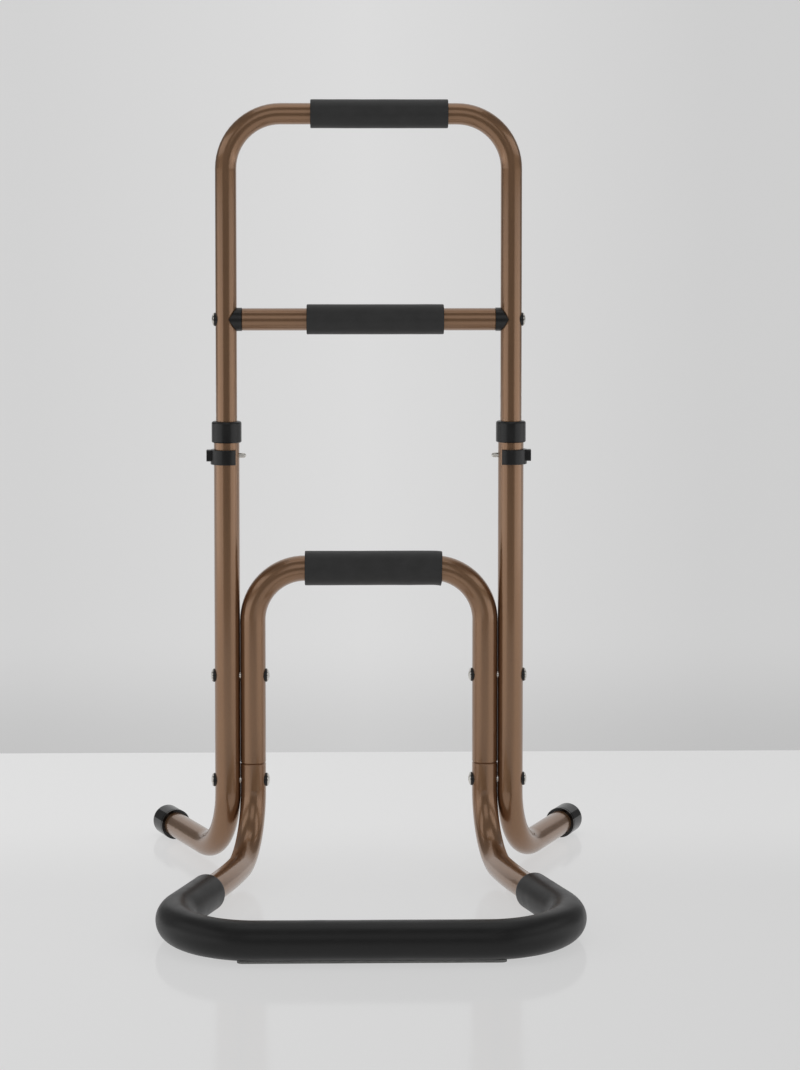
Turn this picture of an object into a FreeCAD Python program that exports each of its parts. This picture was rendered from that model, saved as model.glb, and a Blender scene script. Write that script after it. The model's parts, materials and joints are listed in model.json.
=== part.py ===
import FreeCAD, Part
import math
import os

V = FreeCAD.Vector

# Bedside grab bar, free standing: a U-shaped hand frame slides in two legs and is held by spring clip pins.
# Modelled in millimetres with Z up, X along the bars and -Y towards the foam covered base loop.
# The floor is Z = 0 and the origin is under the middle of the whole footprint.

# Frame layout: the legs end and the arch's bar lies at these heights, and the upper frame stands on them
post_spacing = 280.0
leg_top_height = 446.2
arch_bar_height = 302.8
top_bar_rise = 201.2
rung_clearance = 28.7

# Tubes
tube_wall = 1.5
leg_od = 25.2
rung_od = 22.0
leg_gap = 0.05
slide_gap = 0.6
tube_edge = 0.6

# Bend radii on the tube's axis, and the directions of the feet and of the loop in degrees. The loop leaves its
# legs at the smaller splay, and a long side bend turns it out to the larger one
post_bend = 53.5
arch_bend = 51.5
foot_bend = 65.0
foot_straight = 115.0
foot_splay = 24.0
base_bend = 64.0
base_leg_splay = 11.0
base_side_bend = 600.0
base_splay = 18.0
base_corner_bend = 77.0
base_reach = 320.0

# Clearances
running_fit = 0.08
pin_fit = 0.1
bolt_fit = 0.2
sleeve_fit = 0.1
seat_fit = 0.05
clip_fit = 0.25
overrun = 2.0

# Foam hand grips and the foam of the base loop
top_foam_wall = 3.65
top_grip_length = 134.7
top_grip_offset = 10.3
rung_foam_wall = 3.8
rung_grip_length = 134.7
rung_grip_offset = 6.3
arch_foam_wall = 4.4
arch_grip_length = 136.0
arch_grip_offset = 3.8
base_foam_wall = 4.9
base_foam_start = 22.0
foam_edge = 1.0

# Thin anti-slip strip glued under the front of the base foam
strip_thickness = 1.45
strip_width = 10.0
strip_length = 236.0

# Rubber foot caps
cap_wall = 2.9
cap_length = 31.0
cap_end_wall = 5.0
cap_end_radius = 6.0
cap_rim = 2.5
cap_groove_width = 1.0
cap_groove_depth = 0.5

# Collars that guide the posts at the top of the legs
collar_wall = 2.1
collar_height = 20.8
collar_lip = 2.2
collar_top_radius = 2.0
collar_edge = 0.8

# Height setting: pins through the legs, in one of several holes of each post
holes_each_way = 3
hole_pitch = 20.0
post_end_margin = 27.7
pin_diameter = 4.8
pin_projection = 6.5
clip_thickness = 3.0
clip_height = 14.6
clip_gap = 7.0
pin_rise = 1.3
clip_wrap = 9.3
clip_edge = 0.6
boss_size = 11.2
boss_projection = 3.8
boss_edge = 1.5
boss_wall = 1.0

# Plastic glides in the lower ends of the posts
glide_flange = 3.0
glide_spigot = 14.0
glide_wall = 2.0
glide_edge = 0.6

# Black saddles between the rung and the posts
saddle_step = 0.5
saddle_shoulder = 4.9
saddle_tip = 3.0
saddle_tip_radius = 1.5
saddle_plug = 8.0
insert_length = 10.0
insert_edge = 0.5

# Swaged joint between the arch and the base loop
spigot_length = 40.0
spigot_taper = 3.0
spigot_chamfer = 1.0
joint_edge = 0.9
joint_rise = 17.3
upper_bolt_rise = 87.0

# Bolts, dome nuts, cupped washers and spacers
bolt_diameter = 6.0
bolt_margin = 2.5
head_diameter = 12.4
head_height = 2.4
head_rim = 0.7
socket_flats = 4.0
socket_depth = 1.6
washer_diameter = 13.2
washer_thickness = 1.4
washer_edge = 0.5
spacer_diameter = 8.0
spacer_length = 5.0
nut_barrel_wall = 1.0
nut_barrel_length = 12.0
nut_end_wall = 1.6
thread_engagement = 8.0

# Sizes that follow from the ones above
post_x = post_spacing / 2
leg_r = leg_od / 2
leg_bore_r = leg_r - tube_wall
post_r = leg_bore_r - slide_gap
rung_r = rung_od / 2
arch_x = post_x - leg_od - leg_gap
travel = hole_pitch * holes_each_way
saddle_r = rung_r + saddle_step
rung_height = leg_top_height + collar_lip + travel + rung_clearance + saddle_r
top_bar_height = rung_height + top_bar_rise
rung_half = post_x - post_r - saddle_shoulder
band_height = leg_top_height + collar_lip - collar_height - clip_gap - clip_height / 2
pin_height = band_height + pin_rise
post_bottom_height = pin_height - travel - post_end_margin
foot_reach = foot_bend + foot_straight
base_foam_r = leg_r + base_foam_wall
base_axis_height = strip_thickness + seat_fit + base_foam_r
cap_r = leg_r + cap_wall
foot_axis_height = cap_r
washer_r = washer_diameter / 2
bend_top_height = max(base_axis_height + base_bend, foot_axis_height + foot_bend)
lower_bolt_height = bend_top_height + washer_r + bolt_margin
joint_height = lower_bolt_height + joint_rise
upper_bolt_height = joint_height + upper_bolt_rise
bolt_r = bolt_diameter / 2
bolt_hole_r = bolt_r + bolt_fit
pin_r = pin_diameter / 2
pin_hole_r = pin_r + pin_fit
nut_barrel_r = bolt_r + nut_barrel_wall
spacer_r = spacer_diameter / 2

DOWN = V(0, 0, -1)
UP = V(0, 0, 1)
LEFT = V(-1, 0, 0)
RIGHT = V(1, 0, 0)

foot_angle = math.radians(foot_splay)
foot_heading = V(-math.sin(foot_angle), math.cos(foot_angle), 0)
base_leg_angle = math.radians(base_leg_splay)
base_leg_heading = V(-math.sin(base_leg_angle), -math.cos(base_leg_angle), 0)
base_angle = math.radians(base_splay)
base_heading = V(-math.sin(base_angle), -math.cos(base_angle), 0)

# Where the loop's straight side runs start, outwards from the middle and forward from the posts
side_start_x = (arch_x + base_bend * math.sin(base_leg_angle)
                + base_side_bend * (math.cos(base_leg_angle) - math.cos(base_angle)))
side_start_reach = (base_bend * math.cos(base_leg_angle)
                    + base_side_bend * (math.sin(base_angle) - math.sin(base_leg_angle)))

# The origin lies half way between the front of the foam and the back of the caps
front_reach = base_reach + base_foam_r
cap_flat_r = cap_r - cap_end_radius
rear_reach = ((foot_reach - cap_end_radius) * math.cos(foot_angle)
              + cap_flat_r * math.sin(foot_angle) + cap_end_radius)
post_y = (front_reach - rear_reach) / 2


# Shared shapes

def disc(centre, normal, radius):
    return Part.Face(Part.Wire(Part.makeCircle(radius, centre, normal)))


def ring(centre, normal, outer_r, inner_r):
    return disc(centre, normal, outer_r).cut(disc(centre, normal, inner_r)).Faces[0]


def run(length):
    return ("run", length)


def bend(axis, radius, degrees):
    return ("bend", axis, radius, degrees)


def follow(start, heading, moves, section):
    """Sweep a section along straight runs and tangent bends, each stretch an exact cylinder or torus."""
    point = start
    stretches = []
    for move in moves:
        face = section(point, heading)
        if move[0] == "run":
            step = heading * move[1]
            stretches.append(face.extrude(step))
            point = point + step
        else:
            axis, radius, degrees = move[1:]
            centre = point + axis.cross(heading) * radius
            stretches.append(face.revolve(centre, axis, degrees))
            turn = FreeCAD.Rotation(axis, degrees)
            point = centre + turn.multVec(point - centre)
            heading = turn.multVec(heading)
    if len(stretches) == 1:
        return stretches[0]
    return stretches[0].multiFuse(stretches[1:]).removeSplitter()


def sleeve(start, heading, moves, outer_r, inner_r):
    return follow(start, heading, moves, lambda point, normal: ring(point, normal, outer_r, inner_r))


def rod(start, heading, moves, radius):
    return follow(start, heading, moves, lambda point, normal: disc(point, normal, radius))


def revolved(points, arcs=()):
    """Turn an outline of (radius, height) points about Z. An arc (i, middle) bulges the side after point i."""
    middles = dict(arcs)
    corners = [V(r, 0, z) for r, z in points]
    sides = []
    for i, corner in enumerate(corners):
        following = corners[(i + 1) % len(corners)]
        if i in middles:
            r, z = middles[i]
            sides.append(Part.Arc(corner, V(r, 0, z), following).toShape())
        else:
            sides.append(Part.makeLine(corner, following))
    return Part.Face(Part.Wire(sides)).revolve(V(0, 0, 0), UP, 360)


def placed(shape, origin, direction):
    """Stand a shape that was made along Z on a point, with its Z axis along a direction."""
    moved = shape.copy()
    moved.Placement = FreeCAD.Placement(origin, FreeCAD.Rotation(UP, direction))
    return moved


def mirrored(shape):
    return shape.mirror(V(0, 0, 0), RIGHT)


def pair(shape):
    return [shape, mirrored(shape)]


def cross_hole(x, z, radius, reach):
    """Cutter along X, centred on a vertical tube's axis."""
    return Part.makeCylinder(radius, 2 * reach, V(x - reach, 0, z), RIGHT)


def quarter_middle(centre_r, centre_z, radius):
    """Middle point of a quarter arc that rounds an upper outer edge."""
    along = radius * math.cos(math.pi / 4)
    return (centre_r + along, centre_z + along)


def softened(shape, edges, radius):
    return shape.makeFillet(radius, edges)


def circles_at(shape, radius):
    """Edges that are full circles of one radius."""
    found = []
    for edge in shape.Edges:
        if isinstance(edge.Curve, Part.Circle) and len(edge.Vertexes) == 1:
            if math.isclose(edge.Curve.Radius, radius, rel_tol=1e-6):
                found.append(edge)
    return found


# Tubes

def leg_tube():
    """Left leg: a straight tube that bends back and outwards into the rear foot."""
    drop = leg_top_height - foot_axis_height - foot_bend
    tail = foot_reach - foot_bend - cap_end_wall
    moves = [run(drop), bend(DOWN.cross(foot_heading), foot_bend, 90), run(tail)]
    tube = sleeve(V(-post_x, 0, leg_top_height), DOWN, moves, leg_r, leg_bore_r)
    holes = [cross_hole(-post_x, pin_height, pin_hole_r, leg_od)]
    for height in (lower_bolt_height, upper_bolt_height):
        holes.append(cross_hole(-post_x, height, bolt_hole_r, leg_od))
        holes.append(wall_hole(-post_x, height, spacer_r, RIGHT))
    return tube.cut(holes)


def hoop_moves(half_width, bar_height, bottom_height, bend_r):
    """From the foot of the left side up, over the bar and down the right side."""
    side = bar_height - bend_r - bottom_height
    bar = 2 * (half_width - bend_r)
    across = V(0, 1, 0)
    return [run(side), bend(across, bend_r, 90), run(bar), bend(across, bend_r, 90), run(side)]


def upper_frame_tube():
    """Inverted U with a row of setting holes near the lower end of each side."""
    moves = hoop_moves(post_x, top_bar_height, post_bottom_height, post_bend)
    tube = sleeve(V(-post_x, 0, post_bottom_height), UP, moves, post_r, post_r - tube_wall)
    cutters = []
    for x in (-post_x, post_x):
        for i in range(-holes_each_way, holes_each_way + 1):
            cutters.append(cross_hole(x, pin_height + i * hole_pitch, pin_hole_r, leg_r))
        cutters.append(cross_hole(x, rung_height, bolt_hole_r, leg_r))
    return tube.cut(cutters)


def wall_hole(x, z, radius, side):
    """Hole in one wall of a tube, from its axis out to that side, for a nut's barrel or a spacer."""
    return Part.makeCylinder(radius + bolt_fit, leg_od, V(x, 0, z), side)


def arch_side_holes(z):
    """Holes of both arch legs or both loop legs at one height: bolt, nut barrel and spacer."""
    return (pair(cross_hole(-arch_x, z, bolt_hole_r, leg_od)) + pair(wall_hole(-arch_x, z, nut_barrel_r, RIGHT))
            + pair(wall_hole(-arch_x, z, spacer_r, LEFT)))


def arch_tube():
    """Lower inverted U whose legs stand on the base loop, beside the legs of the frame."""
    moves = hoop_moves(arch_x, arch_bar_height, joint_height, arch_bend)
    tube = sleeve(V(-arch_x, 0, joint_height), UP, moves, leg_r, leg_bore_r)
    lower_ends = [edge for edge in circles_at(tube, leg_r) if edge.CenterOfMass.z < joint_height + joint_edge]
    tube = tube.makeChamfer(joint_edge, lower_ends)
    return tube.cut(arch_side_holes(upper_bolt_height))


def base_run_length():
    forward = base_reach - base_corner_bend * (1 + math.sin(base_angle)) - side_start_reach
    return forward / math.cos(base_angle)


def base_corner_x():
    """Distance of the corner bend's centre from the middle of the loop."""
    side_x = side_start_x + base_run_length() * math.sin(base_angle)
    return side_x - base_corner_bend * math.cos(base_angle)


def spigot():
    """Swaged end of a loop leg: reduced to fit in the arch leg, on a shoulder that carries it."""
    top = joint_height + spigot_length
    outer = leg_bore_r - sleeve_fit
    inner = outer - tube_wall
    start = lower_bolt_height + washer_r
    outline = [(leg_r, start), (leg_r, joint_height - joint_edge), (leg_r - joint_edge, joint_height),
               (outer, joint_height), (outer, top - spigot_chamfer), (outer - spigot_chamfer, top),
               (inner, top), (inner, joint_height), (leg_bore_r, joint_height - spigot_taper),
               (leg_bore_r, start)]
    return revolved(outline).translated(V(-arch_x, 0, 0))


def base_loop_tube():
    """Loop on the floor: down from the arch, forward and outwards, then round the front."""
    leg_top = lower_bolt_height + washer_r
    drop = leg_top - base_axis_height - base_bend
    moves = [run(drop), bend(DOWN.cross(base_leg_heading), base_bend, 90),
             bend(DOWN, base_side_bend, base_splay - base_leg_splay), run(base_run_length()),
             bend(UP, base_corner_bend, 90 + base_splay), run(base_corner_x())]
    half = sleeve(V(-arch_x, 0, leg_top), DOWN, moves, leg_r, leg_bore_r)
    half = half.fuse(spigot())
    tube = half.fuse(mirrored(half)).removeSplitter()
    return tube.cut(arch_side_holes(lower_bolt_height))


def rung_tube():
    tube = sleeve(V(-rung_half, 0, rung_height), RIGHT, [run(2 * rung_half)], rung_r, rung_r - tube_wall)
    return tube.makeChamfer(tube_edge, circles_at(tube, rung_r))


# Foam

def bar_moves(left_end, right_end, straight_half, bend_r):
    """Stretch of a bar with bent ends, from one side of the middle to the other."""
    across = V(0, 1, 0)
    moves = [run(min(right_end, straight_half) + min(left_end, straight_half))]
    if right_end > straight_half:
        moves.append(bend(across, bend_r, math.degrees((right_end - straight_half) / bend_r)))
    return moves


def bar_grip(height, wall, length, offset, tube_r, straight_half, bend_r):
    """Foam sleeve on a bar. An end that reaches past the straight follows the tube's bend."""
    left_end = length / 2 - offset
    right_end = length / 2 + offset
    moves = bar_moves(left_end, right_end, straight_half, bend_r)
    start = V(-min(left_end, straight_half), 0, height)
    grip = sleeve(start, RIGHT, moves, tube_r + wall, tube_r + sleeve_fit)
    return softened(grip, circles_at(grip, tube_r + wall), foam_edge)


def top_grip():
    return bar_grip(top_bar_height, top_foam_wall, top_grip_length, top_grip_offset,
                    post_r, post_x - post_bend, post_bend)


def rung_grip():
    return bar_grip(rung_height, rung_foam_wall, rung_grip_length, rung_grip_offset,
                    rung_r, rung_half, post_bend)


def arch_grip():
    return bar_grip(arch_bar_height, arch_foam_wall, arch_grip_length, arch_grip_offset,
                    leg_r, arch_x - arch_bend, arch_bend)


def foam_half(outer_r, inner_r):
    """Half of the base foam, from its cut end on the side run to the middle of the front bar."""
    start = V(-side_start_x, -side_start_reach, base_axis_height) + base_heading * base_foam_start
    moves = [run(base_run_length() - base_foam_start), bend(UP, base_corner_bend, 90 + base_splay),
             run(base_corner_x())]
    if inner_r == 0:
        return rod(start, base_heading, moves, outer_r)
    return sleeve(start, base_heading, moves, outer_r, inner_r)


def base_foam():
    half = foam_half(base_foam_r, leg_r + sleeve_fit)
    side_rims = [edge for edge in circles_at(half, base_foam_r) if abs(edge.CenterOfMass.x) > base_foam_r]
    cut_end = max(side_rims, key=lambda edge: edge.CenterOfMass.y)
    half = softened(half, [cut_end], foam_edge)
    return half.fuse(mirrored(half)).removeSplitter()


def anti_slip_strip():
    """Flat underneath, round at the ends and hollowed on top to seat the round foam."""
    end_r = strip_width / 2
    end_x = strip_length / 2 - end_r
    height = strip_thickness + base_foam_r - math.sqrt(base_foam_r ** 2 - end_r ** 2)
    slab = Part.makeBox(2 * end_x, strip_width, height, V(-end_x, -base_reach - end_r, 0))
    slab = slab.fuse(pair(Part.makeCylinder(end_r, height, V(-end_x, -base_reach, 0)))).removeSplitter()
    half = foam_half(base_foam_r + seat_fit, 0)
    return slab.cut([half, mirrored(half)])


# Rubber and plastic fittings

def foot_cap():
    """Rubber cap on the left rear foot, with a groove behind its rim and a rounded end."""
    bore = leg_r + seat_fit
    groove_r = cap_r - cap_groove_depth
    groove_end = cap_rim + cap_groove_width
    outline = [(bore, 0), (cap_r, 0), (cap_r, cap_rim), (groove_r, cap_rim),
               (groove_r, groove_end), (cap_r, groove_end), (cap_r, cap_length - cap_end_radius),
               (cap_flat_r, cap_length), (0, cap_length), (0, cap_length - cap_end_wall),
               (bore, cap_length - cap_end_wall)]
    middle = quarter_middle(cap_flat_r, cap_length - cap_end_radius, cap_end_radius)
    cap = revolved(outline, [(6, middle)])
    origin = V(-post_x, 0, foot_axis_height) + foot_heading * (foot_reach - cap_length)
    return placed(cap, origin, foot_heading)


def collar():
    """Ring that hugs the top of a leg and guides the post with its lip."""
    r = leg_r + collar_wall
    top = leg_top_height + collar_lip
    bottom = top - collar_height
    skirt_bore = leg_r + seat_fit
    lip_bore = post_r + running_fit
    outline = [(skirt_bore, bottom), (r - collar_edge, bottom), (r, bottom + collar_edge),
               (r, top - collar_top_radius), (r - collar_top_radius, top), (lip_bore + collar_edge, top),
               (lip_bore, top - collar_edge), (lip_bore, leg_top_height), (skirt_bore, leg_top_height)]
    middle = quarter_middle(r - collar_top_radius, top - collar_top_radius, collar_top_radius)
    return revolved(outline, [(3, middle)]).translated(V(-post_x, 0, 0))


def leg_end_glide():
    """Plug in the lower end of the left post, with a flange that slides in the leg."""
    flange_r = leg_bore_r - running_fit
    spigot_r = post_r - tube_wall - seat_fit
    bottom = post_bottom_height - glide_flange
    top = post_bottom_height + glide_spigot
    outline = [(spigot_r - glide_wall, bottom), (flange_r - glide_edge, bottom), (flange_r, bottom + glide_edge),
               (flange_r, post_bottom_height), (spigot_r, post_bottom_height), (spigot_r, top - glide_edge),
               (spigot_r - glide_edge, top), (spigot_r - glide_wall, top)]
    return revolved(outline).translated(V(-post_x, 0, 0))


def rung_saddle():
    """Left end of the rung: pointed cheeks wrap half round the post, and a plug fits in the rung tube."""
    shoulder_x = -rung_half
    tip_x = -post_x + saddle_tip
    corner_x = -post_x + post_r
    side = [V(tip_x, -saddle_r, 0), V(corner_x, -saddle_r, saddle_r), V(shoulder_x, -saddle_r, saddle_r),
            V(shoulder_x, -saddle_r, -saddle_r), V(corner_x, -saddle_r, -saddle_r)]
    wedge = Part.Face(Part.makePolygon(side + side[:1])).extrude(V(0, 2 * saddle_r, 0))
    tip = [edge for edge in wedge.Edges if edge.BoundBox.XMax < tip_x + saddle_tip_radius
           and edge.BoundBox.YLength > saddle_r]
    wedge = softened(wedge, tip, saddle_tip_radius).translated(V(0, 0, rung_height))
    body = Part.makeCylinder(saddle_r, shoulder_x - tip_x, V(tip_x, 0, rung_height), RIGHT).common(wedge)
    plug = Part.makeCylinder(rung_r - tube_wall - seat_fit, saddle_plug, V(shoulder_x, 0, rung_height), RIGHT)
    post = Part.makeCylinder(post_r + seat_fit, 4 * saddle_r, V(-post_x, 0, rung_height - 2 * saddle_r), UP)
    bore = cross_hole(-post_x, rung_height, bolt_hole_r, post_x)
    return body.fuse(plug).cut([post, bore])


def rung_insert_nut():
    """Threaded plug fixed in the left end of the rung tube, behind the saddle."""
    r = rung_r - tube_wall - seat_fit
    thread_r = bolt_r + seat_fit
    outline = [(thread_r, 0), (r - insert_edge, 0), (r, insert_edge), (r, insert_length - insert_edge),
               (r - insert_edge, insert_length), (thread_r, insert_length)]
    return placed(revolved(outline), V(-rung_half + saddle_plug, 0, rung_height), RIGHT)


# Spring clip and lock pin

def lock_clip():
    """C-shaped clip on the left leg, open towards the middle, with a boss that holds the pin."""
    inner = leg_r + clip_fit
    outer = inner + clip_thickness
    bottom = band_height - clip_height / 2
    band = Part.makeCylinder(outer, clip_height, V(-post_x, 0, bottom))
    band = softened(band, circles_at(band, outer), clip_edge)
    reach = outer + boss_projection
    boss = Part.makeBox(reach, boss_size, boss_size, V(-post_x - reach, -boss_size / 2, pin_height - boss_size / 2))
    long_edges = [edge for edge in boss.Edges if abs(edge.tangentAt(edge.FirstParameter).x) > 0.5]
    boss = softened(boss, long_edges, boss_edge)
    mouth = Part.makeBox(outer, 2 * outer, clip_height, V(-post_x + clip_wrap, -outer, bottom))
    leg = Part.makeCylinder(inner, clip_height, V(-post_x, 0, bottom))
    socket = Part.makeCylinder(pin_r + seat_fit, reach - boss_wall, V(-post_x, 0, pin_height), LEFT)
    return band.fuse(boss).cut([mouth, leg, socket])


def lock_pin():
    """Round pin with a domed tip, from the clip's boss through the leg and the post."""
    head_x = -post_x - leg_r - clip_fit - clip_thickness - boss_projection + boss_wall
    tip_x = -post_x + leg_r + pin_projection
    length = tip_x - head_x
    outline = [(0, 0), (pin_r, 0), (pin_r, length - pin_r), (0, length)]
    middle = quarter_middle(0, length - pin_r, pin_r)
    return placed(revolved(outline, [(2, middle)]), V(head_x, 0, pin_height), RIGHT)


# Fasteners

def dome(stem):
    """Domed head with a hexagon socket, on a stem that runs down from its seat at Z = 0."""
    r = head_diameter / 2
    rise = head_height - head_rim
    sphere_r = (r ** 2 + rise ** 2) / (2 * rise)
    half_angle = math.asin(r / sphere_r) / 2
    middle = (sphere_r * math.sin(half_angle), head_height - sphere_r + sphere_r * math.cos(half_angle))
    head = revolved([(0, 0), (r, 0), (r, head_rim), (0, head_height)], [(2, middle)])
    corner_r = socket_flats / 2 / math.cos(math.pi / 6)
    corners = [V(corner_r * math.cos(i * math.pi / 3), corner_r * math.sin(i * math.pi / 3),
                 head_height - socket_depth) for i in range(6)]
    socket = Part.Face(Part.makePolygon(corners + corners[:1])).extrude(UP * head_height)
    return head.fuse(stem).cut(socket)


def bolt(length):
    return dome(Part.makeCylinder(bolt_r, length, V(0, 0, 0), DOWN))


def dome_nut():
    """Dome with a threaded barrel, closed at the head."""
    barrel = Part.makeCylinder(nut_barrel_r, nut_barrel_length, V(0, 0, 0), DOWN)
    thread = Part.makeCylinder(bolt_r + seat_fit, nut_barrel_length - nut_end_wall,
                               V(0, 0, -nut_barrel_length))
    return dome(barrel).cut(thread)


def cupped_washer(tube_x, z, tube_r, side):
    """Black washer, hollow on the side of the tube and flat under the head."""
    disc_height = tube_r + washer_thickness
    blank = Part.makeCylinder(washer_r, disc_height, V(tube_x, 0, z), side)
    face_x = tube_x + side.x * disc_height
    rims = [edge for edge in circles_at(blank, washer_r) if abs(edge.CenterOfMass.x - face_x) < washer_edge]
    blank = softened(blank, rims, washer_edge)
    tube = Part.makeCylinder(tube_r + seat_fit, washer_diameter + overrun,
                             V(tube_x, 0, z - (washer_diameter + overrun) / 2))
    return blank.cut([tube, cross_hole(tube_x, z, bolt_hole_r, 2 * disc_height)])


def tube_spacer(z):
    """Short bush round a bolt, through the two walls where a leg and the tube beside it meet."""
    start_x = -(post_x + arch_x + spacer_length) / 2
    outline = [(bolt_hole_r, 0), (spacer_r, 0), (spacer_r, spacer_length), (bolt_hole_r, spacer_length)]
    return placed(revolved(outline), V(start_x, 0, z), RIGHT)


def frame_fasteners():
    """Bolt, two washers, spacer and dome nut at each of the four joints of leg and loop."""
    head_x = -post_x - leg_r - washer_thickness
    nut_x = -arch_x + leg_r + washer_thickness
    length = nut_x - nut_barrel_length + thread_engagement - head_x
    bolts, washers, nuts, spacers = [], [], [], []
    for z in (lower_bolt_height, upper_bolt_height):
        bolts += pair(placed(bolt(length), V(head_x, 0, z), LEFT))
        nuts += pair(placed(dome_nut(), V(nut_x, 0, z), RIGHT))
        washers += pair(cupped_washer(-post_x, z, leg_r, LEFT))
        inner_washer = cupped_washer(-arch_x, z, leg_r, RIGHT)
        inner_washer = inner_washer.cut(wall_hole(-arch_x, z, nut_barrel_r, RIGHT))
        washers += pair(inner_washer)
        spacers += pair(tube_spacer(z))
    return bolts, washers, nuts, spacers


def rung_fasteners():
    head_x = -post_x - post_r - washer_thickness
    insert_x = -rung_half + saddle_plug
    length = insert_x + thread_engagement - head_x
    bolts = pair(placed(bolt(length), V(head_x, 0, rung_height), LEFT))
    washers = pair(cupped_washer(-post_x, rung_height, post_r, LEFT))
    return bolts, washers


def sub_parts():
    """Every node's solids, in the layout where the posts stand at Y = 0."""
    frame_bolts, frame_washers, dome_nuts, spacers = frame_fasteners()
    rung_bolts, rung_washers = rung_fasteners()
    nodes = {
        "arch_tube": [arch_tube()],
        "arch_grip": [arch_grip()],
        "base_loop_tube": [base_loop_tube()],
        "base_foam": [base_foam()],
        "anti_slip_strip": [anti_slip_strip()],
        "frame_bolts": frame_bolts,
        "frame_bolt_washers": frame_washers,
        "frame_dome_nuts": dome_nuts,
        "tube_spacers": spacers,
        "upper_frame_tube": [upper_frame_tube()],
        "top_grip": [top_grip()],
        "rung_tube": [rung_tube()],
        "rung_grip": [rung_grip()],
        "rung_bolts": rung_bolts,
        "rung_bolt_washers": rung_washers,
        "rung_insert_nuts": pair(rung_insert_nut()),
        "leg_end_glides": pair(leg_end_glide()),
    }
    sided = {
        "leg_tube": leg_tube(),
        "foot_cap": foot_cap(),
        "collar": collar(),
        "rung_saddle": rung_saddle(),
        "lock_clip": lock_clip(),
        "lock_pin": lock_pin(),
    }
    for name, shape in sided.items():
        nodes["left_" + name] = [shape]
        nodes["right_" + name] = [mirrored(shape)]
    return nodes


def main():
    os.makedirs("parts", exist_ok=True)
    for name, solids in sub_parts().items():
        moved = [solid.translated(V(0, post_y, 0)) for solid in solids]
        shape = moved[0] if len(moved) == 1 else Part.makeCompound(moved)
        shape.exportStep(f"parts/{name}.step")


main()
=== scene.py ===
# %% [markdown]
# # Bedside grab bar
# A free-standing grab bar: bent steel tubes in a metallic bronze powder coat, black foam sleeves where hands
# and feet meet it, and a hand frame that slides up and down and is held by spring clip pins. The imported model
# gives every rigid piece at its real size and place. This script gives those pieces their finishes and makes
# the foam itself.

# %% Load the imported model
import json
import math

import bmesh
import bpy
from mathutils import Matrix, Quaternion, Vector, noise


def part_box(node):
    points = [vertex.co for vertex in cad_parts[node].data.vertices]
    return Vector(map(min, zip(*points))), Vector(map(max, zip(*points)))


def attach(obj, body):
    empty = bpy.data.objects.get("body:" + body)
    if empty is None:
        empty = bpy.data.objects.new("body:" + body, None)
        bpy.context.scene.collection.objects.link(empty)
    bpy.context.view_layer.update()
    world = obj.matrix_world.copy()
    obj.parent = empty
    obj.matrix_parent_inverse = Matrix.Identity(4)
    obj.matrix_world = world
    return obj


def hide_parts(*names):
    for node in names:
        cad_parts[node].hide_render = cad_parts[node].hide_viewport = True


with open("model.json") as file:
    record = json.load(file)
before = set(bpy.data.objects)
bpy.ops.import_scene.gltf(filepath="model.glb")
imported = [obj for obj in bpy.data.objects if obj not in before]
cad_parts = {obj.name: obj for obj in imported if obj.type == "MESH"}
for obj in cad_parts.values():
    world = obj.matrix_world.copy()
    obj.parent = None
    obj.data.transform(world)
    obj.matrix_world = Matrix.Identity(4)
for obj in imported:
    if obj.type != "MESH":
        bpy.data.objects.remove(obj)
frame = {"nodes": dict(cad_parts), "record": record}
nodes = frame["nodes"]
scene = bpy.context.scene
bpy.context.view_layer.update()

# %% [markdown]
# ## Units and colours
# The model is in metres, and its sizes are easier to read in millimetres, so one value turns one into the
# other. Colours are picked as sRGB hex values, the way a screen shows them, while a shader mixes light and
# needs linear values, so one function turns them.

# %% Millimetres and colours
MM = 0.001


def linear(hex_colour):
    """Linear RGBA of an sRGB hex colour."""
    channels = [int(hex_colour[i:i + 2], 16) / 255 for i in (1, 3, 5)]
    curve = [c / 12.92 if c <= 0.04045 else ((c + 0.055) / 1.055) ** 2.4 for c in channels]
    return (*curve, 1.0)


# %% [markdown]
# ## Camera
# The object was photographed from a few metres away and a little below its top bar, with the lens shifted
# down so that the posts stay upright. A large shift would push the object off centre in every other view, so
# here half of it is a slight downward tilt instead. A long lens keeps the front loop and the rear feet at
# nearly the same scale, as in the photograph.

# %% Camera
TILT_DOWN = 3.291
TURN_RIGHT = 1.126

camera_data = bpy.data.cameras.new("camera")
camera_data.sensor_width = 36.0
camera_data.lens = 88.85
camera_data.shift_y = -0.16
camera_data.clip_end = 50.0
camera = bpy.data.objects.new("camera", camera_data)
camera.location = Vector((-20.3, -2509.0, 653.9)) * MM
camera.rotation_euler = (math.radians(90 - TILT_DOWN), 0.0, math.radians(-TURN_RIGHT))
scene.collection.objects.link(camera)
scene.camera = camera
print("camera with a", round(camera_data.lens, 2), "mm lens, tilted down by", TILT_DOWN, "degrees")

# %% [markdown]
# ## Materials as node trees
# A material is a small graph of nodes, and every node is added the same way: pick its kind, set its settings
# and the values of its own sockets, then link its inputs to what came before. One function does this, so
# that each material below reads as a list of what its surface is made of.

# %% Node helpers
def add(tree, kind, links=(), inputs=None, **settings):
    """Add a node. Each link is (input, node, output), and inputs are values for its own sockets."""
    node = tree.nodes.new(kind)
    for key, value in settings.items():
        setattr(node, key, value)
    for key, value in (inputs or {}).items():
        node.inputs[key].default_value = value
    for key, source, output in links:
        tree.links.new(source.outputs[output], node.inputs[key])
    return node


def new_material(name):
    """An empty material, with its tree and the Object coordinates that every pattern here is measured in."""
    material = bpy.data.materials.new(name)
    material.use_nodes = True
    tree = material.node_tree
    tree.nodes.clear()
    return material, tree, add(tree, "ShaderNodeTexCoord")


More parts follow.
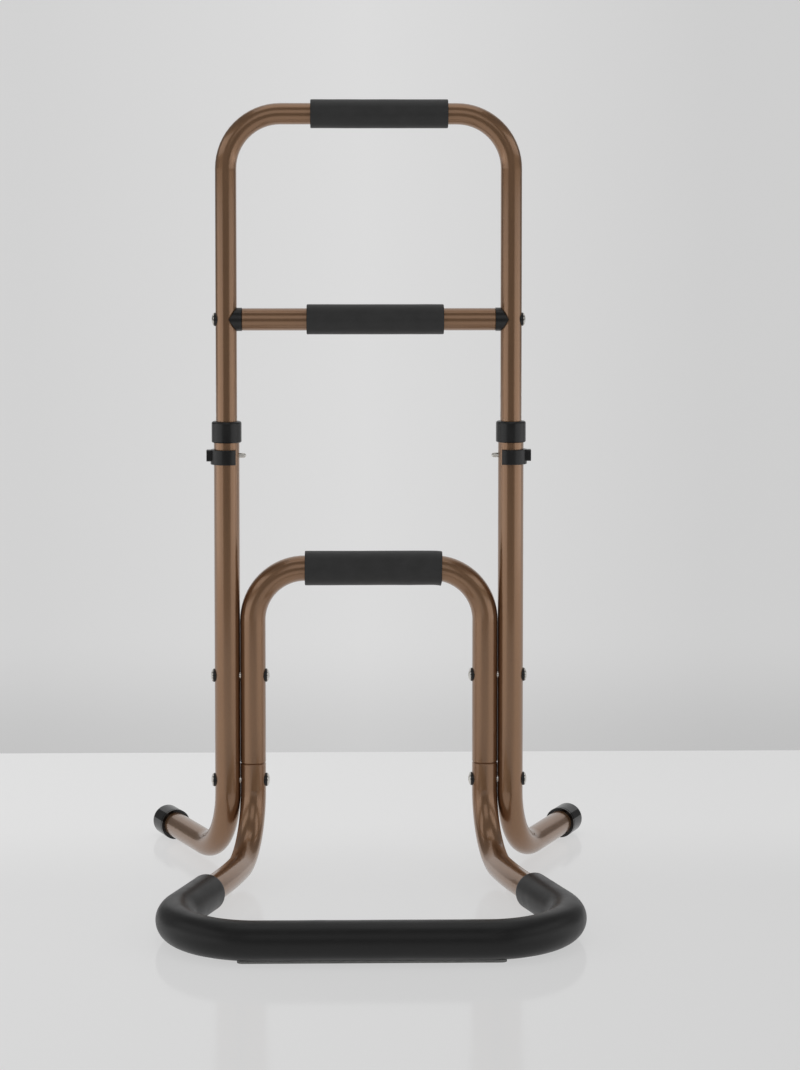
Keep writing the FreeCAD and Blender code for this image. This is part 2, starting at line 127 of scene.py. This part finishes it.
def colour_ramp(tree, source, output, stops):
    """Colour ramp whose stops are (position, hex colour)."""
    ramp = add(tree, "ShaderNodeValToRGB", [("Fac", source, output)])
    elements = ramp.color_ramp.elements
    elements.remove(elements[-1])
    elements[0].position, elements[0].color = stops[0][0], linear(stops[0][1])
    for position, colour in stops[1:]:
        elements.new(position).color = linear(colour)
    return ramp


def per_mm(size):
    """Texture scale at which one cell or wave is that many millimetres across."""
    return 1 / (size * MM)


# %% [markdown]
# ## Studio
# The floor is a white gloss board, so it shows a faint mirror image of whatever stands on it. It ends 1.4 m
# in front of the object's middle. The wall behind is matt and only about a metre wide, and it meets the floor
# a little over half a metre behind the posts. Glossy tubes see past both into a dim room, and that gives them
# their dark stripes. The wall would hide the object from a camera behind it, so its back is see-through: the
# material asks which side of the face is met. Wall and floor get part of their paleness only in what the
# camera and the reflections see, so that they look as pale as in the photograph while the object isn't lit
# more than it should be. Their tones are painted light and shade: the wall is painted brightest in its middle,
# as under a spot, and darker at its foot where it meets the floor; the floor is painted lighter on the left and
# darker in front.

# %% A sheet of the studio
def flat_sheet(name, matrix):
    """Square sheet two metres across, placed and stretched by a matrix."""
    mesh = bpy.data.meshes.new(name)
    shape = bmesh.new()
    bmesh.ops.create_grid(shape, x_segments=1, y_segments=1, size=1.0, matrix=matrix)
    shape.to_mesh(mesh)
    shape.free()
    sheet = bpy.data.objects.new(name, mesh)
    scene.collection.objects.link(sheet)
    return sheet


# %% The finish of a sheet
def board_material(name, painted_light_tones, painted_shade_along, lift, roughness, specular, see_through_back):
    """Lit surface mixed with its own plain colour for what the camera and the reflections see.

    The tones are (x in metres, hex colour), painted light that changes over x. The axis part is (axis, from,
    to, shade): along that axis the colour is multiplied by a grey going from the shade to white, which paints
    shade.
    lift is the plain colour's share.
    """
    material, tree, place = new_material(name)
    axes = add(tree, "ShaderNodeSeparateXYZ", [("Vector", place, "Object")])
    low, high = painted_light_tones[0][0], painted_light_tones[-1][0]
    along = add(tree, "ShaderNodeMapRange", [("Value", axes, "X")], {"From Min": low, "From Max": high})
    # Painted light: the tones over x paint a fall of light on the sheet.
    tone = colour_ramp(tree, along, "Result", [((x - low) / (high - low), colour) for x, colour in painted_light_tones])
    axis, start, end, shade = painted_shade_along
    rise = add(tree, "ShaderNodeMapRange", [("Value", axes, axis)], {"From Min": start, "From Max": end},
               interpolation_type="SMOOTHSTEP")
    # Painted shade: along one axis the colour is darkened by this grey ramp.
    painted_shade_ramp = colour_ramp(tree, rise, "Result", [(0.0, shade), (1.0, "#FFFFFF")])
    tone = add(tree, "ShaderNodeMix", [(6, tone, "Color"), (7, painted_shade_ramp, "Color")], {"Factor": 1.0},
               data_type="RGBA", blend_type="MULTIPLY")
    lit = add(tree, "ShaderNodeBsdfPrincipled", [("Base Color", tone, 2)],
              {"Roughness": roughness, "Specular IOR Level": specular})
    glow = add(tree, "ShaderNodeEmission", [("Color", tone, 2)], {"Strength": 1.0})
    ray = add(tree, "ShaderNodeLightPath")
    seen = add(tree, "ShaderNodeMath", [(0, ray, "Is Camera Ray"), (1, ray, "Is Glossy Ray")],
               operation="MAXIMUM")
    share = add(tree, "ShaderNodeMath", [(0, seen, "Value")], {1: lift}, operation="MULTIPLY")
    surface = add(tree, "ShaderNodeMixShader",
                  [("Fac", share, "Value"), (1, lit, "BSDF"), (2, glow, "Emission")])
    if see_through_back:
        side = add(tree, "ShaderNodeNewGeometry")
        clear = add(tree, "ShaderNodeBsdfTransparent")
        surface = add(tree, "ShaderNodeMixShader",
                      [("Fac", side, "Backfacing"), (1, surface, "Shader"), (2, clear, "BSDF")])
    add(tree, "ShaderNodeOutputMaterial", [("Surface", surface, "Shader")])
    return material


# %% Floor
# Painted light: the floor is painted lighter on the left, and the grey ramp on Y paints shade on its front
# part.
FLOOR_PAINTED_LIGHT_TONES = [(-0.45, "#F7F7F7"), (0.0, "#F3F3F3"), (0.40, "#EFEFEF")]
FLOOR_HALF = 6.0
FLOOR_FRONT = -1.4

floor_place = Matrix.Translation((0, FLOOR_FRONT + FLOOR_HALF, 0))
floor = flat_sheet("floor", floor_place @ Matrix.Diagonal((FLOOR_HALF, FLOOR_HALF, 1, 1)))
floor.data.materials.append(board_material(
    "white_gloss_board", FLOOR_PAINTED_LIGHT_TONES, painted_shade_along=("Y", 0.0, 0.3, "#F6F6F6"),
    lift=0.64, roughness=0.1, specular=0.42, see_through_back=False))
print("floor ends", -FLOOR_FRONT, "m in front of the object's middle")

# %% Wall
# Painted light: the wall is painted brightest in its middle, as under a spot, and painted shade darkens its
# foot where it meets the floor.
WALL_PAINTED_LIGHT_TONES = [(-0.40, "#E0E0E0"), (0.0, "#EAEAEA"), (0.42, "#DCDCDC")]
WALL_MIDDLE = (0.04, 0.662, 1.2)
WALL_HALF_WIDTH = 0.53
WALL_HALF_HEIGHT = 1.25

upright = Matrix.Translation(WALL_MIDDLE) @ Matrix.Rotation(math.radians(90), 4, "X")
wall = flat_sheet("wall", upright @ Matrix.Diagonal((WALL_HALF_WIDTH, WALL_HALF_HEIGHT, 1, 1)))
wall.data.materials.append(board_material(
    "matt_grey_wall", WALL_PAINTED_LIGHT_TONES, painted_shade_along=("Z", -0.01, 0.15, "#EEEEEE"),
    lift=0.78, roughness=0.9, specular=0.1, see_through_back=True))
print("wall is", 2 * WALL_HALF_WIDTH, "m wide and", WALL_MIDDLE[1], "m behind the object's middle")

# %% [markdown]
# ## Light
# The posts show two broad bright bands with a darker stripe between them, and the bars that lie across are
# darker than the posts. That means a wide soft light on each side and a dim room behind the camera. A higher
# pair lights the upper frame, and a weak front light and a ceiling light soften the rest. The world is the
# dim room. Its own colour is only for light and reflections; the camera sees a grey like the wall's.

# %% World
ROOM_STRENGTH = 0.2
WALL_GREY = "#DEDEDE"

world = bpy.data.worlds.new("studio")
world.use_nodes = True
scene.world = world
sky = world.node_tree
sky.nodes.clear()
ray = add(sky, "ShaderNodeLightPath")
room = add(sky, "ShaderNodeBackground", inputs={"Color": linear("#F4F4F4"), "Strength": ROOM_STRENGTH})
seen = add(sky, "ShaderNodeBackground", inputs={"Color": linear(WALL_GREY), "Strength": 1.0})
both = add(sky, "ShaderNodeMixShader", [("Fac", ray, "Is Camera Ray"), (1, room, "Background"),
                                        (2, seen, "Background")])
add(sky, "ShaderNodeOutputWorld", [("Surface", both, "Shader")])
print("room of strength", ROOM_STRENGTH, "behind a view of", WALL_GREY)


# %% Lamps
def soft_light(name, place, target, size, watts):
    """Rectangular lamp at a place in metres, turned to face a target."""
    data = bpy.data.lights.new(name, "AREA")
    data.shape = "RECTANGLE"
    data.size, data.size_y = size
    data.energy = watts
    lamp = bpy.data.objects.new(name, data)
    lamp.location = place
    lamp.rotation_euler = (Vector(target) - Vector(place)).to_track_quat("-Z", "Y").to_euler()
    lamp.visible_camera = False
    scene.collection.objects.link(lamp)
    print(name, watts, "W at", place)


AIM = (0, 0, 0.3)
SIDE_REACH = 2.2

for side, name in ((-1, "left"), (1, "right")):
    soft_light(name + "_side_light", (SIDE_REACH * side, -0.75, 0.1), AIM, size=(3.4, 1.2), watts=10.2)
    soft_light(name + "_high_light", (SIDE_REACH * side, -0.6, 1.6), AIM, size=(3.0, 0.8), watts=5.5)
soft_light("front_light", (0, -2.6, 1.8), AIM, size=(1.8, 1.6), watts=5)
soft_light("ceiling_light", (0, 0.1, 3.0), (0, 0.05, 0), size=(2.4, 1.6), watts=8)

scene.view_settings.view_transform = "Standard"

# %% [markdown]
# ## Bronze powder coat
# The tubes are mild steel in a metallic bronze powder coat: a brown base full of fine metal flakes under a
# clear skin. The flakes make it mostly metal, the skin adds a weaker and sharper reflection without colour,
# and the powder never flows quite level, which leaves a faint orange peel. The real flakes are a few
# hundredths of a millimetre, far too fine to show, so they are drawn at 0.6 mm and faint.

# %% Bronze powder coat
def bronze_powder_coat():
    """Brown paint with fine flakes, faint clouds and a faint orange peel."""
    material, tree, place = new_material("bronze_powder_coated_steel")
    flakes = add(tree, "ShaderNodeTexVoronoi", [("Vector", place, "Object")], {"Scale": per_mm(0.6)})
    flake_tone = add(tree, "ShaderNodeSeparateColor", [("Color", flakes, "Color")])
    cloud = add(tree, "ShaderNodeTexNoise", [("Vector", place, "Object")],
                {"Scale": per_mm(45), "Detail": 3.0})
    tone = add(tree, "ShaderNodeMix", [("A", flake_tone, "Red"), ("B", cloud, "Fac")], {"Factor": 0.6})
    colour = colour_ramp(tree, tone, "Result", [(0.2, "#977152"), (0.8, "#9D7756")])
    rough = add(tree, "ShaderNodeMapRange", [("Value", tone, "Result")],
                {"From Min": 0.2, "From Max": 0.8, "To Min": 0.28, "To Max": 0.31})
    peel = add(tree, "ShaderNodeTexNoise", [("Vector", place, "Object")],
               {"Scale": per_mm(2.5), "Detail": 2.0})
    bump = add(tree, "ShaderNodeBump", [("Height", peel, "Fac")], {"Strength": 0.02, "Distance": 0.03 * MM})
    paint = add(tree, "ShaderNodeBsdfPrincipled",
                [("Base Color", colour, "Color"), ("Roughness", rough, "Result"), ("Normal", bump, "Normal")],
                {"Metallic": 0.7, "Coat Weight": 0.8, "Coat Roughness": 0.1})
    add(tree, "ShaderNodeOutputMaterial", [("Surface", paint, "BSDF")])
    return material


# %% [markdown]
# ## Foam
# The sleeves are nitrile foam tube, pushed over the steel while wet. Its outside is a closed skin, dark and
# nearly matt with a fine pebble, and a dusty paleness where it turns away from the eye, which is what sheen
# gives. The ends are sliced with a knife and show the open cells, about half a millimetre across.

# %% Foam skin
def foam_skin(name, dark, light, gloss):
    """Foam skin between two tones. gloss is its (lowest, highest) roughness."""
    material, tree, place = new_material(name)
    cloud = add(tree, "ShaderNodeTexNoise", [("Vector", place, "Object")],
                {"Scale": per_mm(14), "Detail": 4.0})
    colour = colour_ramp(tree, cloud, "Fac", [(0.3, dark), (0.7, light)])
    rough = add(tree, "ShaderNodeMapRange", [("Value", cloud, "Fac")],
                {"From Min": 0.3, "From Max": 0.7, "To Min": gloss[0], "To Max": gloss[1]})
    pebble = add(tree, "ShaderNodeTexNoise", [("Vector", place, "Object")],
                 {"Scale": per_mm(0.9), "Detail": 2.0})
    bump = add(tree, "ShaderNodeBump", [("Height", pebble, "Fac")], {"Strength": 0.25, "Distance": 0.05 * MM})
    skin = add(tree, "ShaderNodeBsdfPrincipled",
               [("Base Color", colour, "Color"), ("Roughness", rough, "Result"), ("Normal", bump, "Normal")],
               {"Specular IOR Level": 0.4, "Sheen Weight": 0.12, "Sheen Roughness": 0.4})
    add(tree, "ShaderNodeOutputMaterial", [("Surface", skin, "BSDF")])
    return material


# %% Cut foam
def foam_cut():
    """Open cells of a knife-cut end, each painted dark in its middle as shade in the hollow of the cell."""
    material, tree, place = new_material("nitrile_foam_cut_end")
    cells = add(tree, "ShaderNodeTexVoronoi", [("Vector", place, "Object")], {"Scale": per_mm(0.5)})
    # Painted shade: each cell is darkest in its middle, where the pore is deepest.
    colour = colour_ramp(tree, cells, "Distance", [(0.1, "#101010"), (0.6, "#2B2B2B")])
    bump = add(tree, "ShaderNodeBump", [("Height", cells, "Distance")],
               {"Strength": 0.6, "Distance": 0.1 * MM})
    cut = add(tree, "ShaderNodeBsdfPrincipled", [("Base Color", colour, "Color"), ("Normal", bump, "Normal")],
              {"Roughness": 0.9, "Specular IOR Level": 0.2})
    add(tree, "ShaderNodeOutputMaterial", [("Surface", cut, "BSDF")])
    return material


# %% [markdown]
# ## Moulded parts
# The collars, clips, saddles and washers are moulded nylon from a tool with a fine spark-eroded texture, so
# they are satin rather than glossy. The foot caps are a soft PVC from a polished tool, which is glossy and
# picks up fine dust and rubs. The strip under the front foam is grey rubber, matt and grainier than the
# nylon. Its pale grey is partly painted light, raised so that the strip stays mid-grey in the shadow under the
# foam.
# The same tree serves all three, with the tones, the grain and the gloss as arguments.

# %% Moulded parts
def moulded(name, dark, light, gloss, grain, grain_depth, specular):
    """Nylon, PVC or rubber. gloss is its (lowest, highest) roughness, and the grain is in millimetres."""
    material, tree, place = new_material(name)
    cloud = add(tree, "ShaderNodeTexNoise", [("Vector", place, "Object")],
                {"Scale": per_mm(9), "Detail": 5.0})
    colour = colour_ramp(tree, cloud, "Fac", [(0.3, dark), (0.7, light)])
    rough = add(tree, "ShaderNodeMapRange", [("Value", cloud, "Fac")],
                {"From Min": 0.3, "From Max": 0.7, "To Min": gloss[0], "To Max": gloss[1]})
    spark = add(tree, "ShaderNodeTexNoise", [("Vector", place, "Object")],
                {"Scale": per_mm(grain), "Detail": 2.0})
    bump = add(tree, "ShaderNodeBump", [("Height", spark, "Fac")],
               {"Strength": 0.2, "Distance": grain_depth * MM})
    body = add(tree, "ShaderNodeBsdfPrincipled",
               [("Base Color", colour, "Color"), ("Roughness", rough, "Result"), ("Normal", bump, "Normal")],
               {"Specular IOR Level": specular})
    add(tree, "ShaderNodeOutputMaterial", [("Surface", body, "BSDF")])
    return material


# %% [markdown]
# ## Bright steel
# The bolts, dome nuts and lock pins are steel with a bright nickel plating over a turned surface. The plating
# is smooth, with faint clouds where it is thinner.

# %% Bright steel
def bright_steel():
    """Smooth plating with faint clouds in its tone and its gloss."""
    material, tree, place = new_material("nickel_plated_steel")
    cloud = add(tree, "ShaderNodeTexNoise", [("Vector", place, "Object")],
                {"Scale": per_mm(3), "Detail": 4.0})
    colour = colour_ramp(tree, cloud, "Fac", [(0.3, "#D6D3CD"), (0.7, "#E4E1DB")])
    rough = add(tree, "ShaderNodeMapRange", [("Value", cloud, "Fac")],
                {"From Min": 0.3, "From Max": 0.7, "To Min": 0.16, "To Max": 0.26})
    plating = add(tree, "ShaderNodeBsdfPrincipled",
                  [("Base Color", colour, "Color"), ("Roughness", rough, "Result")], {"Metallic": 1.0})
    add(tree, "ShaderNodeOutputMaterial", [("Surface", plating, "BSDF")])
    return material


# %% [markdown]
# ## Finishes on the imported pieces
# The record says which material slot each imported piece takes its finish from. A piece whose shape is right
# keeps its mesh and only gets a new material, so the finishes are made once, by slot, and then handed out.

# %% Give each material slot its finish
finishes = {
    "frame_paint": bronze_powder_coat(),
    "foam": foam_skin("hand_grip_foam", "#3A3A3A", "#424242", gloss=(0.5, 0.58)),
    # Painted light: the strip's grey is raised so that it stays mid-grey in the shadow under the front foam.
    "strip_rubber": moulded("grey_rubber_strip_painted_lighter", "#AAAAA8", "#B9B9B7", gloss=(0.7, 0.8),
                            grain=0.8, grain_depth=0.05, specular=0.3),
    "cap_rubber": moulded("glossy_black_pvc", "#050505", "#090909", gloss=(0.05, 0.08),
                          grain=3.0, grain_depth=0.01, specular=0.45),
    "black_plastic": moulded("satin_black_nylon", "#191919", "#1F1F1F", gloss=(0.28, 0.34),
                             grain=0.5, grain_depth=0.01, specular=0.5),
    "bright_steel": bright_steel(),
}
for part in frame["record"]["subparts"]:
    mesh = nodes[part["node"]].data
    mesh.materials.clear()
    mesh.materials.append(finishes[part["material_slot"]])
    print(part["node"], "in", mesh.materials[0].name)

# %% [markdown]
# ## Foam sleeves
# A sleeve is a ring pushed along the tube's own line, and that line is made of straight runs and round
# bends. Extruding the ring makes a run and spinning it makes a bend, so both come from one list of moves.
# The rings are only a few millimetres apart, which lets the skin be pushed in and out a little afterwards:
# foam is never as even as steel. The skin then gets its wall, and the knife-cut ends a soft edge.

# %% Sweep a ring along runs and bends
UP = Vector((0, 0, 1))
RIGHT = Vector((1, 0, 0))


def step_along(shape, edges, step):
    """Extrude a ring once and return the new ring's edges."""
    made = bmesh.ops.extrude_edge_only(shape, edges=edges)["geom"]
    fresh = {part for part in made if isinstance(part, bmesh.types.BMVert)}
    bmesh.ops.translate(shape, verts=list(fresh), vec=step)
    return [part for part in made if isinstance(part, bmesh.types.BMEdge) and fresh.issuperset(part.verts)]


def sweep(shape, start, heading, moves, radius, around, spacing):
    """Skin round a line. A move is (length,) for a run or (axis, bend radius, angle) for a bend."""
    facing = Matrix.Translation(start) @ heading.to_track_quat("Z", "Y").to_matrix().to_4x4()
    circle = bmesh.ops.create_circle(shape, segments=around, radius=radius, matrix=facing)["verts"]
    edges = list({edge for vert in circle for edge in vert.link_edges})
    point = start.copy()
    for move in moves:
        if len(move) == 1:
            count = max(1, round(move[0] / spacing))
            for _ in range(count):
                edges = step_along(shape, edges, heading * move[0] / count)
            point += heading * move[0]
        else:
            axis, bend_radius, angle = move
            centre = point + axis.cross(heading) * bend_radius
            count = max(2, round(bend_radius * angle / spacing))
            last = bmesh.ops.spin(shape, geom=edges, cent=centre, axis=axis, angle=angle,
                                  steps=count)["geom_last"]
            edges = [part for part in last if isinstance(part, bmesh.types.BMEdge)]
            turn = Quaternion(axis, angle)
            point = centre + turn @ (point - centre)
            heading = turn @ heading


# %% Turn a skin into a foam sleeve
FOAM_LIP = 0.9 * MM
FOAM_UNEVEN = 0.10 * MM
LONG_SWELL = 26 * MM
SHORT_SWELL = 9 * MM
SHORT_SHARE = 0.4
CREASE = math.radians(50)

cut_end = foam_cut()


def foam_sleeve(name, body, replaced, shape, wall, skin_finish):
    """Finish a swept skin as foam: a little uneven, with a wall, cut ends and soft lips."""
    bmesh.ops.recalc_face_normals(shape, faces=shape.faces)
    shape.normal_update()
    for vert in shape.verts:
        swell = noise.noise(vert.co / LONG_SWELL) + SHORT_SHARE * noise.noise(vert.co / SHORT_SWELL)
        vert.co += vert.normal * FOAM_UNEVEN * swell
    skin = set(shape.faces)
    rims = [edge for edge in shape.edges if edge.is_boundary]
    bmesh.ops.solidify(shape, geom=list(shape.faces), thickness=wall)
    for edge in rims:
        for face in edge.link_faces:
            if face not in skin:
                face.material_index = 1
    bmesh.ops.bevel(shape, geom=rims, offset=FOAM_LIP, segments=4, profile=0.5, affect="EDGES", material=-1)
    mesh = bpy.data.meshes.new(name)
    shape.to_mesh(mesh)
    shape.free()
    mesh.shade_smooth()
    mesh.set_sharp_from_angle(angle=CREASE)
    mesh.materials.append(skin_finish)
    mesh.materials.append(cut_end)
    sleeve = bpy.data.objects.new(name, mesh)
    scene.collection.objects.link(sleeve)
    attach(sleeve, body)
    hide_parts(replaced)
    print(name, len(mesh.vertices), "points")


# %% [markdown]
# ## Straight hand grips
# The top bar and the rung each carry a plain length of foam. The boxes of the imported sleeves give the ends
# and the thickness, so the new ones take the same room on the bars.

# %% Straight hand grips
FOAM_AROUND = 72
FOAM_SPACING = 3.0 * MM
BORE_GAP = 0.2 * MM
POST_RADIUS = 10.5 * MM
RUNG_RADIUS = 11.0 * MM


def straight_grip(name, body, replaced, tube_radius):
    """Sleeve on a straight bar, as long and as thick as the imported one."""
    low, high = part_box(replaced)
    centre = (low + high) / 2
    radius = (high.z - low.z) / 2
    shape = bmesh.new()
    start = Vector((low.x, centre.y, centre.z))
    sweep(shape, start, RIGHT, [(high.x - low.x,)], radius, FOAM_AROUND, FOAM_SPACING)
    foam_sleeve(name, body, replaced, shape, radius - tube_radius - BORE_GAP, finishes["foam"])


straight_grip("top_foam_grip", "upper_frame", "top_grip", POST_RADIUS)
straight_grip("rung_foam_grip", "upper_frame", "rung_grip", RUNG_RADIUS)

# %% [markdown]
# ## Arch grip
# This sleeve sits a little to the right and its end runs onto the bend of the tube. The foam is stiffer than
# it looks and was cut square while straight, so its end stays almost upright. The sleeve is swept past its
# end along the bend and then cut by a nearly upright plane.

# %% Arch grip
LEG_RADIUS = 12.6 * MM
ARCH_BEND = 51.5 * MM
RUN_ON = math.radians(16)
CUT_LEAN = math.radians(2.5)
CUT_X = 71.8 * MM

low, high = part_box("arch_grip")
radius = (high.y - low.y) / 2
axis_height = high.z - radius
straight_end = -low.x
start = Vector((low.x, (low.y + high.y) / 2, axis_height))
shape = bmesh.new()
sweep(shape, start, RIGHT, [(2 * straight_end,), (Vector((0, 1, 0)), ARCH_BEND, RUN_ON)],
      radius, FOAM_AROUND, FOAM_SPACING)
cut_normal = Vector((1, 0, -math.tan(CUT_LEAN))).normalized()
cut_place = Vector((CUT_X, 0, axis_height))
bmesh.ops.bisect_plane(shape, geom=shape.verts[:] + shape.edges[:] + shape.faces[:], dist=1e-7,
                       plane_co=cut_place, plane_no=cut_normal, clear_outer=True)
foam_sleeve("arch_foam_grip", "base", "arch_grip", shape, radius - LEG_RADIUS - BORE_GAP, finishes["foam"])

# %% [markdown]
# ## Base sleeve
# Its foam is the same but shinier, and its darker tones are painted shade. One long sleeve covers the front of
# the loop and runs back along both sides. The loop leaves its legs at 11 degrees and a long gentle bend turns
# it out to 18. The sleeve's line starts just past that bend at the cut end on the left, goes forward, turns
# the corner, crosses the front and comes back on the right. The run lengths follow from the loop's reach and
# its bends.

# %% Base sleeve
LOOP_REACH = 320 * MM
LOOP_BEND = 64 * MM
SIDE_BEND = 600 * MM
LOOP_CORNER = 77 * MM
LEG_SPLAY = math.radians(11)
SIDE_SPLAY = math.radians(18)
SLEEVE_START = 22 * MM

low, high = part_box("base_foam")
radius = (high.z - low.z) / 2
axis_height = (high.z + low.z) / 2
post_line = sum(corner.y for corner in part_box("left_collar")) / 2
arch_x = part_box("arch_tube")[1].x - LEG_RADIUS
print("post line", post_line, "arch leg at", arch_x, "sleeve radius", radius)

side_x = (arch_x + LOOP_BEND * math.sin(LEG_SPLAY)
          + SIDE_BEND * (math.cos(LEG_SPLAY) - math.cos(SIDE_SPLAY)))
side_reach = (LOOP_BEND * math.cos(LEG_SPLAY)
              + SIDE_BEND * (math.sin(SIDE_SPLAY) - math.sin(LEG_SPLAY)))
forward = LOOP_REACH - LOOP_CORNER * (1 + math.sin(SIDE_SPLAY)) - side_reach
run_length = forward / math.cos(SIDE_SPLAY)
corner_x = side_x + run_length * math.sin(SIDE_SPLAY) - LOOP_CORNER * math.cos(SIDE_SPLAY)
heading = Vector((-math.sin(SIDE_SPLAY), -math.cos(SIDE_SPLAY), 0))
start = Vector((-side_x, post_line - side_reach, axis_height)) + heading * SLEEVE_START
corner = (UP, LOOP_CORNER, math.radians(90) + SIDE_SPLAY)
shape = bmesh.new()
sweep(shape, start, heading,
      [(run_length - SLEEVE_START,), corner, (2 * corner_x,), corner, (run_length - SLEEVE_START,)],
      radius, FOAM_AROUND, FOAM_SPACING)
# The same foam in darker tones, which are painted shade, and with a lower roughness.
shaded_floor_foam = foam_skin("floor_loop_foam_painted_shade", "#181818", "#1D1D1D", gloss=(0.36, 0.44))
foam_sleeve("base_foam_sleeve", "base", "base_foam", shape, radius - LEG_RADIUS - BORE_GAP, shaded_floor_foam)
